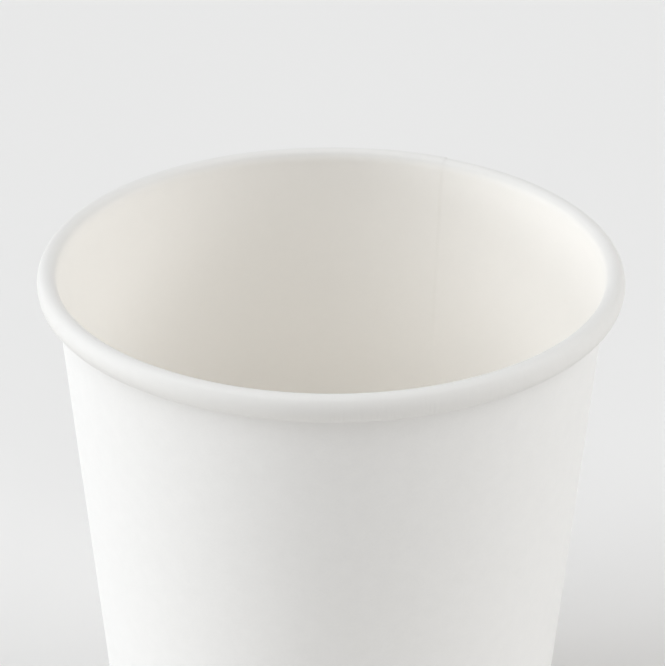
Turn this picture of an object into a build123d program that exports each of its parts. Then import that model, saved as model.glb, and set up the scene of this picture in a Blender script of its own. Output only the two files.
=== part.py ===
from build123d import *
from math import acos, asin, atan2, cos, degrees, hypot, pi, sin
import os

# Paper soup container of the 16 fl oz (473 ml) trade size, open at the top.
# The side wall is one blank of coated paperboard: rolled into a cone, lapped
# and sealed down one side seam, curled outward at the rim and folded inward
# and up at the foot. The base is a paperboard disc with a turned-down skirt
# that the folded foot holds against the wall.
# The origin is the centre of the foot, +Z points up to the rim, in millimetres.

# Overall sizes
rim_diameter = 98.0
base_diameter = 75.0
container_height = 99.0

# Paperboard
board_thickness = 0.5
disc_thickness = 0.5

# Rim curl: an oval bead, drawn as side arcs and rounder end arcs
bead_width = 3.4
bead_height = 4.6
bead_end_radius_share = 0.43
tuck_gap = 0.25

# Folded foot: creased sharp on the inside and rounded on the outside
hem_top_gap = 0.6
glue_gap = 0.05

# Base disc
recess_depth = 8.0
disc_corner_radius = 1.2
skirt_end_gap = 0.3

# Side seam: the outer edge laps over the inner edge, both cut square
seam_azimuth = 64.3
lap_width = 8.0
ramp_width = 16.0
seam_step_share = 0.8

# Values worked out from the sizes above
rim_radius = rim_diameter / 2
base_radius = base_diameter / 2
full_turn = 360.0
quarter_turn = full_turn / 4
half_turn = full_turn / 2

# The bead's oval, about its own centre
bead_half_width = bead_width / 2
bead_half_height = bead_height / 2
end_radius = bead_width * bead_end_radius_share
end_centre_rise = bead_half_height - end_radius
side_radius = (bead_half_width**2 + end_centre_rise**2 - end_radius**2) / (
    2 * (bead_half_width - end_radius)
)
bead_centre_r = rim_radius - bead_half_width
bead_centre_z = container_height - bead_half_height
side_arc_half_angle = degrees(asin(end_centre_rise / (side_radius - end_radius)))

# The wall's slope: its outer face starts at the base radius and its inner face
# runs into the bead's inner side arc
arc_centre_r = bead_centre_r - bead_half_width + side_radius
reach = hypot(arc_centre_r - base_radius, bead_centre_z)
slope_rad = acos((side_radius - board_thickness) / reach) - atan2(
    bead_centre_z, arc_centre_r - base_radius
)
slope = degrees(slope_rad)
slope_run = sin(slope_rad) / cos(slope_rad)
inner_foot_radius = base_radius - board_thickness / cos(slope_rad)

# The slot in the foot that holds the disc's skirt, and the hem beside it,
# which ends below the disc's rounded corner
slot_width = disc_thickness + 2 * glue_gap
slot_run = slot_width / cos(slope_rad)
disc_top = recess_depth + disc_thickness
disc_outer_corner = disc_corner_radius + disc_thickness
disc_corner_z = disc_top - disc_outer_corner
hem_height = disc_corner_z - hem_top_gap

# How far the curl turns under before its cut edge meets the wall
under_reach = bead_half_width - board_thickness - tuck_gap + end_centre_rise * slope_run
tuck_turn = slope + degrees(asin(under_reach * cos(slope_rad) / end_radius))

# The lapped end of the blank is rolled about an axis set back from the
# container's own, so that it climbs evenly to the height of its cut edge
mid_radius = (rim_radius + base_radius) / 2
lap_angle = degrees(lap_width / mid_radius)
ramp_angle = degrees(ramp_width / mid_radius)
seam_step = board_thickness * seam_step_share
seam_turn = ramp_angle + lap_angle
set_back = seam_step / (1 - cos(seam_turn * pi / half_turn))


def inner_wall_radius(z):
    """Radius of the wall's inner face at a height above the foot."""
    return inner_foot_radius + z * slope_run


def section(path_at, thickness):
    """Section of a sheet between its inner face and its outer face."""
    inner = path_at(0)
    outer = path_at(thickness)
    ends = [Line(inner[0] @ 0, outer[0] @ 0), Line(inner[-1] @ 1, outer[-1] @ 1)]
    edges = [curve.edge() for curve in inner + outer + ends]
    return Plane.XZ * make_face(edges)


def foot_fold(floor, depth, turn):
    """Outer face of a foot fold round its sharp crease, or nothing at the crease."""
    return [JernArc(floor @ 1, floor % 1, depth, turn)] if depth else []


def wall_path(depth):
    """Foot floor, foot fold, wall and rim curl at a depth below the inner face."""
    crease_r = inner_wall_radius(board_thickness)
    floor_z = board_thickness - depth
    floor = Line((crease_r - slot_run, floor_z), (crease_r, floor_z))
    foot = [floor] + foot_fold(floor, depth, quarter_turn - slope)
    bead_start = Vector(
        arc_centre_r - (side_radius - depth) * cos(slope_rad),
        bead_centre_z + (side_radius - depth) * sin(slope_rad),
    )
    wall = Line(foot[-1] @ 1, bead_start)
    end_arc_turn = half_turn - 2 * side_arc_half_angle
    side_in = JernArc(wall @ 1, wall % 1, side_radius - depth, slope - side_arc_half_angle)
    top = JernArc(side_in @ 1, side_in % 1, end_radius - depth, -end_arc_turn)
    side_out = JernArc(top @ 1, top % 1, side_radius - depth, -2 * side_arc_half_angle)
    under_turn = end_arc_turn / 2 + tuck_turn
    under = JernArc(side_out @ 1, side_out % 1, end_radius - depth, -under_turn)
    return foot + [wall, side_in, top, side_out, under]


def hem_path(depth):
    """Foot floor, foot fold and hem at a depth below the inner face."""
    crease_r = inner_wall_radius(board_thickness)
    floor_z = board_thickness - depth
    floor = Line((crease_r, floor_z), (crease_r - slot_run, floor_z))
    foot = [floor] + foot_fold(floor, depth, -(quarter_turn + slope))
    top_r = inner_wall_radius(hem_height) - slot_run
    hem_top = Vector(top_r - depth * cos(slope_rad), hem_height + depth * sin(slope_rad))
    return foot + [Line(foot[-1] @ 1, hem_top)]


def disc_path(depth):
    """Base disc and its skirt at a depth below the disc's top face."""
    skirt_end = board_thickness + skirt_end_gap
    skirt_run = glue_gap / cos(slope_rad)
    corner_run = disc_outer_corner / cos(slope_rad)
    corner_r = inner_wall_radius(disc_corner_z) - skirt_run - corner_run
    top = Line((0, disc_top - depth), (corner_r, disc_top - depth))
    corner = JernArc(top @ 1, top % 1, disc_outer_corner - depth, -(quarter_turn + slope))
    foot_r = inner_wall_radius(skirt_end) - skirt_run
    foot = Vector(foot_r - depth * cos(slope_rad), skirt_end + depth * sin(slope_rad))
    return [top, corner, Line(corner @ 1, foot)]


def side_wall():
    """One blank: cone, lapped side seam, curled rim and folded foot."""
    wall_section = section(wall_path, board_thickness)
    rolled = revolve(wall_section, axis=Axis.Z, revolution_arc=full_turn - ramp_angle)
    rolled = Rot(0, 0, seam_azimuth) * rolled
    set_back_axis = Axis((-set_back, 0, 0), (0, 0, 1))
    lapped = revolve(wall_section, axis=set_back_axis, revolution_arc=seam_turn)
    lapped = Rot(0, 0, seam_azimuth - ramp_angle) * lapped
    hem = revolve(section(hem_path, board_thickness), axis=Axis.Z)
    return rolled + lapped + hem


def base_disc():
    """Flat disc with a skirt that follows the wall down into the foot."""
    return revolve(section(disc_path, disc_thickness), axis=Axis.Z)


def write_node(shape, name):
    """Write one node as a STEP file of its single solid."""
    export_step(Part(shape.solid().wrapped), os.path.join("parts", name + ".step"))


os.makedirs("parts", exist_ok=True)
write_node(side_wall(), "side_wall")
write_node(base_disc(), "base_disc")
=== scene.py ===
import math

import bpy
from mathutils import Matrix, Vector


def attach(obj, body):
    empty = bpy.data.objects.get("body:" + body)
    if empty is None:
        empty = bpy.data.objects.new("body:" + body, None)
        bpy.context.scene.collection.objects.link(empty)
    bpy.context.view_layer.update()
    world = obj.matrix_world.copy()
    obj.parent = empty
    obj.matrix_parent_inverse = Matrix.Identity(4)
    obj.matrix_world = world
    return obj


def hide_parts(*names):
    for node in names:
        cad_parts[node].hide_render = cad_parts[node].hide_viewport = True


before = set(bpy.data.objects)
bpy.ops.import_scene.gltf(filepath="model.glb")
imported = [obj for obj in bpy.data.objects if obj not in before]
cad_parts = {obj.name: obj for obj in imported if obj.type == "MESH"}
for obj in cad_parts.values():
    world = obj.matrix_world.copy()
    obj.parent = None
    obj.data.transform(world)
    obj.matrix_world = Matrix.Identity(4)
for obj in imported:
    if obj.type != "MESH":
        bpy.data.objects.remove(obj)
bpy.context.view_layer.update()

MM = 0.001

# Sizes of the container, the same as the frame's
RIM_RADIUS = 49.0 * MM
BASE_RADIUS = 37.5 * MM
HEIGHT = 99.0 * MM
BOARD = 0.5 * MM
BEAD_WIDTH = 3.4 * MM
BEAD_HEIGHT = 4.6 * MM
BEAD_END_SHARE = 0.43
TUCK_GAP = 0.25 * MM
GLUE_GAP = 0.05 * MM
RECESS_DEPTH = 8.0 * MM
DISC_CORNER = 1.2 * MM
HEM_TOP_GAP = 0.6 * MM
SKIRT_END_GAP = 0.3 * MM

# Side seam, by azimuth from +X, with steps softer than the frame's square edges
SEAM_AZIMUTH = math.radians(64.3)
LAP_WIDTH = 8.0 * MM
RAMP_WIDTH = 16.0 * MM
SEAM_STEP = 0.32 * MM
INNER_STEP = 0.035 * MM
OUTER_EDGE_WIDTH = 0.03 * MM
INNER_EDGE_WIDTH = 0.16 * MM

# Rim curl where it passes over the doubled board: it swells and tucks in less
BEAD_BULGE = 0.11 * MM
BULGE_RISE = 0.4
BULGE_FADE_WIDTH = 7.0 * MM
TUCK_RELIEF = math.radians(24.0)

# Small unevenness of a real container
CREASE_RADIUS = 0.05 * MM
DISC_SAG = 0.35 * MM
WRINKLE_DEPTH = 0.036 * MM
WRINKLE_SPACING = 0.55 * MM
WRINKLE_LENGTH = 3.0 * MM

# Ribs of the hem: depth, number, and their bare margin and fade as shares of its height
KNURL_DEPTH = 0.20 * MM
KNURL_TEETH = 120
KNURL_MARGIN = 0.06
KNURL_FADE = 0.14

# Waves round the wall: number, phase, turn of the phase up the wall, and weight
WALL_WAVE = 0.07 * MM
WALL_WAVES = ((3, 0.7, 0.0, 1.0), (5, 2.1, 2.0, 0.6))

# Ripples round the rim curl: number, phase and weight, and the waves that they swell by
BEAD_RIPPLE = 0.018 * MM
RIPPLE_WAVES = ((97, 0.0, 0.5), (131, 2.0, 0.35), (61, 0.9, 0.25))
RIPPLE_SWELL = 0.4
SWELL_WAVES = ((7, 1.3), (4, 0.4))
RIPPLE_START = 0.15
RIPPLE_RISE = 0.5

# Mesh density: rings round the wall and the disc, and steps along the board
WALL_RINGS = 600
DISC_RINGS = 150
HEM_STEPS = 8
CREASE_STEPS = 5
WALL_STEPS = 18
BEAD_INNER_STEPS = 4
BEAD_TOP_STEPS = 14
BEAD_OUTER_STEPS = 7
BEAD_UNDER_STEPS = 11
DISC_STEPS = 20
DISC_CORNER_STEPS = 8
SKIRT_STEPS = 6
SHARP_ANGLE = math.radians(40.0)

# A ring nearer to a cut edge than this share of the rings' spacing is left out
CLEAR_SHARE = 0.7

# Boards: colour, share of it where the mottle is dark, roughness, grain per metre and its height
COATED_BOARD = ((0.978, 0.950, 0.902), 0.972, 0.50, 1500.0, 0.012 * MM)
UNCOATED_BOARD = ((0.900, 0.886, 0.861), 0.925, 0.72, 2600.0, 0.030 * MM)
RAW_BOARD = ((0.800, 0.780, 0.730), 0.900, 0.85, 5200.0, 0.050 * MM)
COATED_DISC = ((0.962, 0.930, 0.872), 0.980, 0.52, 1500.0, 0.012 * MM)
COATED, UNCOATED, RAW_EDGE = 0, 1, 2
BOARD_IOR = 1.45
BOARD_SPECULAR = 0.3
ROUGHNESS_SPREAD = 0.06
MOTTLE_SCALE = 420.0
MOTTLE_DETAIL = 3.0
GRAIN_DETAIL = 4.0
GRAIN_SHARE = 0.5
WRINKLE_DETAIL = 1.0

# Painted shade on the rim curl: a darker colour that stands in for the shade on the curl, which comes
# in between two distances from the axis
RIM_PAINTED_SHADE = (0.806, 0.789, 0.759)
RIM_BLEND_START = 45.45 * MM
RIM_BLEND_END = 46.20 * MM

# Camera, from the photograph: angles in degrees
IMAGE_WIDTH_PX = 665
IMAGE_HEIGHT_PX = 666
FOCAL_PX = 2930.0
CAMERA_DISTANCE = 10.0 * RIM_RADIUS
CAMERA_ELEVATION = 25.84
CAMERA_PITCH = -1.17
CAMERA_ROLL = 0.16
CAMERA_YAW = 0.03
SENSOR_MM = 36.0
CLIP_START = 0.01
CLIP_END = 20.0

# Light: name, azimuth, elevation, strength, spread and colour of each soft lamp
LAMPS = (
    ("left_high", 183.0, 43.0, 1.99, 58.0, (0.965, 1.000, 1.040)),
    ("left_low", 180.0, 4.0, 0.90, 16.0, (0.965, 1.000, 1.040)),
    ("right_high", 4.0, 37.0, 1.37, 48.0, (0.985, 1.000, 1.015)),
    ("right_low", 0.0, 10.0, 0.50, 32.0, (0.985, 1.000, 1.015)),
    ("front_high", 272.0, 45.0, 0.53, 46.0, (1.000, 1.000, 1.000)),
    ("front_low", 270.0, 15.0, 0.20, 40.0, (1.000, 1.000, 1.000)),
)
WORLD_COLOUR = (1.000, 1.000, 1.000)
WORLD_LEVEL = 0.065
BACKGROUND = (0.791, 0.791, 0.775)
FLOOR_COLOUR = (0.876, 0.859, 0.837)
FLOOR_RADIUS = 3.0
FLOOR_SIDES = 128


# Shape of the board, in the section plane
half_width = BEAD_WIDTH / 2
half_height = BEAD_HEIGHT / 2
end_radius = BEAD_WIDTH * BEAD_END_SHARE
end_rise = half_height - end_radius
side_radius = (half_width**2 + end_rise**2 - end_radius**2) / (2 * (half_width - end_radius))
bead_r = RIM_RADIUS - half_width
bead_z = HEIGHT - half_height
side_half_angle = math.asin(end_rise / (side_radius - end_radius))
side_centre_r = bead_r - half_width + side_radius
reach = math.hypot(side_centre_r - BASE_RADIUS, bead_z)
slope = math.acos((side_radius - BOARD) / reach) - math.atan2(bead_z, side_centre_r - BASE_RADIUS)
foot_inner_r = BASE_RADIUS - BOARD / math.cos(slope)
slot_width = BOARD + 2 * GLUE_GAP
disc_top = RECESS_DEPTH + BOARD
disc_corner_z = disc_top - DISC_CORNER - BOARD
hem_height = disc_corner_z - HEM_TOP_GAP
under_reach = half_width - BOARD - TUCK_GAP + end_rise * math.tan(slope)
tuck_turn = slope + math.asin(under_reach * math.cos(slope) / end_radius)

# Angles of the seam about the axis
mid_radius = (RIM_RADIUS + BASE_RADIUS) / 2
lap_angle = LAP_WIDTH / mid_radius
ramp_angle = RAMP_WIDTH / mid_radius
fade_angle = BULGE_FADE_WIDTH / mid_radius


def inner_r(z):
    """Radius of the wall's inner face at a height."""
    return foot_inner_r + z * math.tan(slope)


def smooth(x):
    """0 below 0, 1 above 1, and a smooth step between."""
    x = min(max(x, 0.0), 1.0)
    return x * x * (3 - 2 * x)


class Walker:
    """Walks a path in the section plane and notes points with the board's inward normal."""

    def __init__(self, r, z, heading):
        self.r, self.z, self.heading = r, z, heading
        self.points = []
        self.note()

    def note(self):
        self.points.append((self.r, self.z, math.sin(self.heading), -math.cos(self.heading)))

    def line(self, length, steps):
        start_r, start_z = self.r, self.z
        for k in range(1, steps + 1):
            self.r = start_r + math.cos(self.heading) * length * k / steps
            self.z = start_z + math.sin(self.heading) * length * k / steps
            self.note()

    def arc(self, radius, turn, steps):
        side = 1.0 if turn > 0 else -1.0
        centre_r = self.r - side * radius * math.sin(self.heading)
        centre_z = self.z + side * radius * math.cos(self.heading)
        first = self.heading
        for k in range(1, steps + 1):
            self.heading = first + turn * k / steps
            self.r = centre_r + side * radius * math.sin(self.heading)
            self.z = centre_z - side * radius * math.cos(self.heading)
            self.note()


def board_path(tuck):
    """The blank's inner face from the hem's top to the curl's end, and where its stretches end."""
    ends = {}
    crease_z = BOARD + CREASE_RADIUS
    hem_r = inner_r(hem_height) - slot_width / math.cos(slope)
    walk = Walker(hem_r, hem_height, -math.pi / 2 - slope)
    hem_drop = hem_height - crease_z - CREASE_RADIUS * math.sin(slope)
    walk.line(hem_drop / math.cos(slope), HEM_STEPS)
    ends["hem"] = len(walk.points)
    walk.arc(CREASE_RADIUS, math.pi / 2 + slope, CREASE_STEPS)
    wall_centre_r = inner_r(crease_z) - CREASE_RADIUS / math.cos(slope)
    walk.line(wall_centre_r - walk.r, 1)
    ends["floor"] = len(walk.points)
    walk.arc(CREASE_RADIUS, math.pi / 2 - slope, CREASE_STEPS)
    ends["foot"] = len(walk.points)
    bead_start_z = bead_z + side_radius * math.sin(slope)
    walk.line((bead_start_z - walk.z) / math.cos(slope), WALL_STEPS)
    ends["wall"] = len(walk.points)
    walk.arc(side_radius, slope - side_half_angle, BEAD_INNER_STEPS)
    walk.arc(end_radius, -(math.pi - 2 * side_half_angle), BEAD_TOP_STEPS)
    walk.arc(side_radius, -2 * side_half_angle, BEAD_OUTER_STEPS)
    walk.arc(end_radius, -(math.pi / 2 - side_half_angle + tuck), BEAD_UNDER_STEPS)
    return walk.points, ends


def climbed(turn):
    """How far the lapped end has climbed over the other end, from 0 to 1."""
    along = (turn + ramp_angle) / (ramp_angle + lap_angle)
    return along * along if 0 <= along <= 1 else 0.0


def wall_wave(azimuth, z):
    """Slow waviness of the wall, none at the foot or the rim."""
    share = (z - disc_top) / (bead_z - disc_top)
    if not 0 < share < 1:
        return 0.0
    wave = sum(
        weight * math.sin(number * azimuth + phase + rise * share)
        for number, phase, rise, weight in WALL_WAVES
    )
    return WALL_WAVE * wave * math.sin(math.pi * share)


def knurl(azimuth, z):
    """Ribs pressed into the hem from inside the foot."""
    share = (z - BOARD) / (hem_height - BOARD)
    if not 0 < share < 1:
        return 0.0
    low_end = smooth((share - KNURL_MARGIN) / KNURL_FADE)
    high_end = smooth((1 - KNURL_MARGIN - share) / KNURL_FADE)
    return KNURL_DEPTH * low_end * high_end * (1 + math.cos(KNURL_TEETH * azimuth)) / 2


def bead_ripple(azimuth):
    """Faint uneven ripples round the rim curl."""
    waves = sum(weight * math.sin(number * azimuth + phase) for number, phase, weight in RIPPLE_WAVES)
    swell = math.prod(math.sin(number * azimuth + phase) for number, phase in SWELL_WAVES)
    return BEAD_RIPPLE * (1 - RIPPLE_SWELL + RIPPLE_SWELL * swell) * waves


def board_ring(azimuth, side):
    """Points of one ring of the side wall. Side is -1 just before a cut edge and 1 after it."""
    turn = math.remainder(azimuth - SEAM_AZIMUTH, 2 * math.pi)
    before_inner_edge = turn < 0 or (turn == 0 and side < 0)
    before_outer_edge = turn < lap_angle or (turn == lap_angle and side < 0)
    start = max((turn + ramp_angle) / ramp_angle, 0.0)
    fade = 1 - smooth((turn - lap_angle) / fade_angle)
    set_back = INNER_STEP * start * start if before_inner_edge else 0.0
    back_out = SEAM_STEP * climbed(turn) if before_outer_edge else 0.0
    bulge = 0.0 if before_inner_edge else BEAD_BULGE * fade
    points, ends = board_path(tuck_turn - TUCK_RELIEF * (smooth(start) * fade))
    ripple = bead_ripple(azimuth)
    bead_points = len(points) - ends["wall"]
    food, back = [], []
    for index, (r, z, right_r, right_z) in enumerate(points):
        along_bead = (index - ends["wall"]) / bead_points
        wall_share = smooth((index - ends["floor"]) / (ends["foot"] - ends["floor"]))
        bulge_share = smooth(along_bead / BULGE_RISE)
        ripple_depth = ripple * smooth((along_bead - RIPPLE_START) / RIPPLE_RISE)
        food_depth = set_back * wall_share - bulge * bulge_share + ripple_depth
        back_depth = BOARD + back_out * wall_share + ripple_depth
        shift = wall_wave(azimuth, z) if index >= ends["foot"] else 0.0
        if index < ends["hem"]:
            shift = -knurl(azimuth, z)
        food.append((r + right_r * food_depth + shift, z + right_z * food_depth))
        back.append((r + right_r * back_depth + shift, z + right_z * back_depth))
    return food + back[::-1]


def placed(azimuth, point):
    """A section point turned to its azimuth."""
    r, z = point
    return (r * math.cos(azimuth), r * math.sin(azimuth), z)


def mesh_piece(name, vertices, faces, face_materials, materials):
    """A shaded mesh object that rides on the one body."""
    mesh = bpy.data.meshes.new(name)
    mesh.from_pydata(vertices, [], faces)
    for material in materials:
        mesh.materials.append(material)
    mesh.polygons.foreach_set("material_index", face_materials)
    mesh.polygons.foreach_set("use_smooth", [True] * len(faces))
    mesh.set_sharp_from_angle(angle=SHARP_ANGLE)
    mesh.update()
    piece = bpy.data.objects.new(name, mesh)
    bpy.context.collection.objects.link(piece)
    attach(piece, "root")
    return piece


def side_wall_piece(materials):
    """The rolled blank: one closed grid of rings, with both cut edges of the seam."""
    edges = {
        SEAM_AZIMUTH: INNER_EDGE_WIDTH / mid_radius,
        SEAM_AZIMUTH + lap_angle: OUTER_EDGE_WIDTH / mid_radius,
    }
    rings = []
    for edge, width in edges.items():
        rings.extend((edge + side * width / 2, edge, side) for side in (-1, 1))
    spacing = 2 * math.pi / WALL_RINGS
    for k in range(WALL_RINGS):
        azimuth = k * spacing
        clear = min(abs(math.remainder(azimuth - edge, 2 * math.pi)) for edge in edges)
        if clear > spacing * CLEAR_SHARE:
            rings.append((azimuth, azimuth, 0))
    rings.sort()
    sections = [board_ring(at, side) for _, at, side in rings]
    count = len(sections[0])
    half = count // 2
    vertices, faces, face_materials = [], [], []
    for (azimuth, _, _), section in zip(rings, sections):
        vertices.extend(placed(azimuth, point) for point in section)
    for k, (_, at, side) in enumerate(rings):
        following = (k + 1) % len(rings)
        cut = side == -1 and at != SEAM_AZIMUTH
        for j in range(count):
            onward = (j + 1) % count
            faces.append((
                k * count + j, k * count + onward,
                following * count + onward, following * count + j,
            ))
            if j in (half - 1, count - 1) or (cut and j >= half):
                face_materials.append(RAW_EDGE)
            else:
                face_materials.append(COATED if j < half else UNCOATED)
    piece = mesh_piece("side_wall_paper", vertices, faces, face_materials, materials)
    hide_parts("side_wall")


def base_disc_piece(materials):
    """The disc with its rounded corner and skirt, and a slight sag."""
    skirt_end = BOARD + SKIRT_END_GAP
    outer_corner = DISC_CORNER + BOARD
    corner_r = inner_r(disc_corner_z) - (GLUE_GAP + outer_corner) / math.cos(slope)
    walk = Walker(corner_r / DISC_STEPS, disc_top, 0.0)
    walk.line(corner_r - walk.r, DISC_STEPS - 1)
    flat = len(walk.points)
    walk.arc(outer_corner, -(math.pi / 2 + slope), DISC_CORNER_STEPS)
    walk.line((walk.z - skirt_end) / math.cos(slope), SKIRT_STEPS)
    top, under = [], []
    for index, (r, z, right_r, right_z) in enumerate(walk.points):
        sag = DISC_SAG * (1 - smooth(r / corner_r)) if index < flat else 0.0
        top.append((r, z - sag))
        under.append((r + right_r * BOARD, z + right_z * BOARD - sag))
    section = top + under[::-1]
    count = len(section)
    half = count // 2
    vertices, faces, face_materials = [], [], []
    for k in range(DISC_RINGS):
        azimuth = 2 * math.pi * k / DISC_RINGS
        vertices.extend(placed(azimuth, point) for point in section)
    for k in range(DISC_RINGS):
        following = (k + 1) % DISC_RINGS
        for j in range(count - 1):
            faces.append((
                k * count + j, k * count + j + 1,
                following * count + j + 1, following * count + j,
            ))
            face_materials.append(RAW_EDGE if j == half - 1 else COATED)
    for j, z in ((0, disc_top - DISC_SAG), (count - 1, disc_top - DISC_SAG - BOARD)):
        centre = len(vertices)
        vertices.append((0.0, 0.0, z))
        for k in range(DISC_RINGS):
            pair = (k * count + j, ((k + 1) % DISC_RINGS) * count + j)
            faces.append((centre, *pair) if j == 0 else (centre, *pair[::-1]))
            face_materials.append(COATED)
    piece = mesh_piece("base_disc_paper", vertices, faces, face_materials, materials)
    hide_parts("base_disc")


def feed(tree, place, source):
    """Gives an input another node's output, or a fixed value."""
    if isinstance(source, bpy.types.NodeSocket):
        tree.links.new(source, place)
    else:
        place.default_value = source


def number_step(tree, operation, *sources):
    """A math node on numbers."""
    step = tree.nodes.new("ShaderNodeMath")
    step.operation = operation
    for place, source in zip(step.inputs, sources):
        feed(tree, place, source)
    return step.outputs["Value"]


def vector_step(tree, operation, *sources):
    """A math node on vectors, which gives a number for a length."""
    step = tree.nodes.new("ShaderNodeVectorMath")
    step.operation = operation
    for place, source in zip(step.inputs, sources):
        feed(tree, place, source)
    return step.outputs["Value" if operation == "LENGTH" else "Vector"]


def noise_node(tree, coordinates, scale, detail):
    """A noise texture at a scale for each unit of its coordinates."""
    noise = tree.nodes.new("ShaderNodeTexNoise")
    noise.inputs["Scale"].default_value = scale
    noise.inputs["Detail"].default_value = detail
    tree.links.new(coordinates, noise.inputs["Vector"])
    return noise.outputs["Fac"]


def colour_mix(tree, share, first, second):
    """A colour between two others, by a share from 0 to 1."""
    mix = tree.nodes.new("ShaderNodeMix")
    mix.data_type = "RGBA"
    for name, source in (("Factor", share), ("A", first), ("B", second)):
        feed(tree, mix.inputs[name], source)
    return mix.outputs["Result"]


def bump_node(tree, height, distance, normal=None):
    """A normal bumped by a height, over another bumped normal if there is one."""
    bump = tree.nodes.new("ShaderNodeBump")
    bump.inputs["Strength"].default_value = 1.0
    bump.inputs["Distance"].default_value = distance
    tree.links.new(height, bump.inputs["Height"])
    if normal:
        tree.links.new(normal, bump.inputs["Normal"])
    return bump.outputs["Normal"]


def rim_share(tree, coordinates):
    """0 on the wall and disc, 1 on the rim curl, by the distance from the axis."""
    flat = vector_step(tree, "MULTIPLY", coordinates, (1.0, 1.0, 0.0))
    share = tree.nodes.new("ShaderNodeMapRange")
    share.interpolation_type = "SMOOTHSTEP"
    share.inputs["From Min"].default_value = RIM_BLEND_START
    share.inputs["From Max"].default_value = RIM_BLEND_END
    tree.links.new(vector_step(tree, "LENGTH", flat), share.inputs["Value"])
    return share.outputs["Result"]


def curl_wrinkles(tree, coordinates, share):
    """A normal with fine wrinkles across the rim curl, none on the wall."""
    turns = RIM_RADIUS / WRINKLE_SPACING
    flat = vector_step(tree, "MULTIPLY", coordinates, (1.0, 1.0, 0.0))
    unit = vector_step(tree, "NORMALIZE", flat)
    around = vector_step(tree, "MULTIPLY", unit, (turns, turns, 0.0))
    along = vector_step(tree, "MULTIPLY", coordinates, (0.0, 0.0, 1 / WRINKLE_LENGTH))
    noise = noise_node(tree, vector_step(tree, "ADD", around, along), 1.0, WRINKLE_DETAIL)
    return bump_node(tree, number_step(tree, "MULTIPLY", noise, share), WRINKLE_DEPTH)


def paper_material(name, colour, dark_share, roughness, grain, grain_height, rim_painted_shade=None):
    """Board with mottled colour and a fibre grain in its bump and roughness, and painted shade on the
    rim curl when a shade colour is given.
    """
    material = bpy.data.materials.new(name)
    material.use_nodes = True
    tree = material.node_tree
    shader = tree.nodes["Principled BSDF"]
    shader.inputs["IOR"].default_value = BOARD_IOR
    shader.inputs["Specular IOR Level"].default_value = BOARD_SPECULAR
    coordinates = tree.nodes.new("ShaderNodeTexCoord").outputs["Object"]

    mottle = noise_node(tree, coordinates, MOTTLE_SCALE, MOTTLE_DETAIL)
    fibre = noise_node(tree, coordinates, grain, GRAIN_DETAIL)
    mottle_part = number_step(tree, "MULTIPLY", mottle, 1 - GRAIN_SHARE)
    blend = number_step(tree, "MULTIPLY_ADD", fibre, GRAIN_SHARE, mottle_part)

    dark = (*[channel * dark_share for channel in colour], 1.0)
    base = colour_mix(tree, blend, dark, (*colour, 1.0))
    wrinkled = None
    # Painted shade: the rim curl is given a darker colour that stands in for its shade, blended in by
    # the distance from the axis; its wrinkles are real bumps
    if rim_painted_shade:
        share = rim_share(tree, coordinates)
        base = colour_mix(tree, share, base, (*rim_painted_shade, 1.0))
        wrinkled = curl_wrinkles(tree, coordinates, share)
    tree.links.new(base, shader.inputs["Base Color"])

    rough = tree.nodes.new("ShaderNodeMapRange")
    rough.inputs["To Min"].default_value = roughness - ROUGHNESS_SPREAD
    rough.inputs["To Max"].default_value = roughness + ROUGHNESS_SPREAD
    tree.links.new(blend, rough.inputs["Value"])
    tree.links.new(rough.outputs["Result"], shader.inputs["Roughness"])
    tree.links.new(bump_node(tree, blend, grain_height, wrinkled), shader.inputs["Normal"])
    return material


def board_materials():
    """Coated inside, uncoated outside and raw cut edge, for the wall and for the disc."""
    coated = paper_material("coated_board", *COATED_BOARD, RIM_PAINTED_SHADE)
    uncoated = paper_material("uncoated_board", *UNCOATED_BOARD)
    raw = paper_material("raw_board_edge", *RAW_BOARD)
    disc = paper_material("coated_disc_board", *COATED_DISC)
    return [coated, uncoated, raw], [disc, uncoated, raw]


def pale_world():
    """Even light from all round, with the pale background where it is seen."""
    world = bpy.data.worlds.new("pale_world")
    bpy.context.scene.world = world
    world.use_nodes = True
    tree = world.node_tree
    tree.nodes.clear()
    rays = tree.nodes.new("ShaderNodeLightPath")
    seen = number_step(tree, "MAXIMUM", rays.outputs["Is Camera Ray"], rays.outputs["Is Glossy Ray"])
    shown = number_step(tree, "MAXIMUM", seen, rays.outputs["Is Transmission Ray"])
    light = tree.nodes.new("ShaderNodeBackground")
    light.inputs["Color"].default_value = (*WORLD_COLOUR, 1.0)
    light.inputs["Strength"].default_value = WORLD_LEVEL
    backdrop = tree.nodes.new("ShaderNodeBackground")
    backdrop.inputs["Color"].default_value = (*BACKGROUND, 1.0)
    either = tree.nodes.new("ShaderNodeMixShader")
    tree.links.new(shown, either.inputs["Fac"])
    tree.links.new(light.outputs[0], either.inputs[1])
    tree.links.new(backdrop.outputs[0], either.inputs[2])
    output = tree.nodes.new("ShaderNodeOutputWorld")
    tree.links.new(either.outputs[0], output.inputs["Surface"])


def pale_floor():
    """A wide round floor at the foot's level."""
    material = bpy.data.materials.new("pale_floor")
    material.use_nodes = True
    shader = material.node_tree.nodes["Principled BSDF"]
    shader.inputs["Base Color"].default_value = (*FLOOR_COLOUR, 1.0)
    shader.inputs["Roughness"].default_value = 1.0
    shader.inputs["Specular IOR Level"].default_value = 0.0
    bpy.ops.mesh.primitive_circle_add(vertices=FLOOR_SIDES, radius=FLOOR_RADIUS, fill_type="NGON")
    floor = bpy.context.object
    floor.name = "floor"
    floor.data.materials.append(material)


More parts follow.
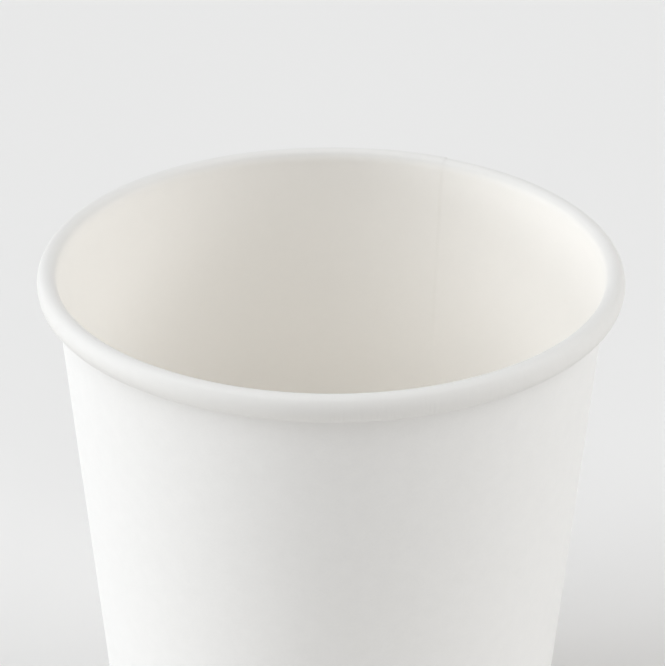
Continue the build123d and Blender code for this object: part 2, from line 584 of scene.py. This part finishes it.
def soft_sun(name, azimuth, elevation, strength, spread, colour):
    """A wide soft lamp far away, shining from an azimuth and elevation in degrees."""
    lamp = bpy.data.lights.new(name, "SUN")
    lamp.energy = strength
    lamp.color = colour
    lamp.angle = math.radians(spread)
    holder = bpy.data.objects.new(name, lamp)
    bpy.context.collection.objects.link(holder)
    level, turn = math.radians(elevation), math.radians(azimuth)
    towards = Vector((
        math.cos(level) * math.cos(turn),
        math.cos(level) * math.sin(turn),
        math.sin(level),
    ))
    holder.rotation_euler = towards.to_track_quat("Z", "Y").to_euler()
    holder.location = towards


def turned(first, second, degrees):
    """Two square directions after a turn of the first towards the second."""
    turn = math.radians(degrees)
    return (
        first * math.cos(turn) + second * math.sin(turn),
        second * math.cos(turn) - first * math.sin(turn),
    )


def photo_camera():
    """The camera where the photograph was taken from, with its long lens."""
    level = math.radians(CAMERA_ELEVATION)
    ahead = Vector((0.0, math.cos(level), -math.sin(level)))
    right = Vector((1.0, 0.0, 0.0))
    up = right.cross(ahead)
    place = Vector((0.0, 0.0, bead_z)) - ahead * CAMERA_DISTANCE
    ahead, right = turned(ahead, right, CAMERA_YAW)
    ahead, up = turned(ahead, up, CAMERA_PITCH)
    right, up = turned(right, up, CAMERA_ROLL)
    camera = bpy.data.cameras.new("camera")
    camera.sensor_width = SENSOR_MM
    camera.lens = SENSOR_MM * FOCAL_PX / max(IMAGE_WIDTH_PX, IMAGE_HEIGHT_PX)
    camera.clip_start = CLIP_START
    camera.clip_end = CLIP_END
    holder = bpy.data.objects.new("camera", camera)
    bpy.context.collection.objects.link(holder)
    basis = Matrix((right, up, -ahead)).transposed().to_4x4()
    holder.matrix_world = Matrix.Translation(place) @ basis
    bpy.context.scene.camera = holder


wall_materials, disc_materials = board_materials()
side_wall_piece(wall_materials)
base_disc_piece(disc_materials)
pale_world()
pale_floor()
for lamp in LAMPS:
    soft_sun(*lamp)
photo_camera()
bpy.context.scene.view_settings.view_transform = "Standard"

bpy.context.view_layer.update()
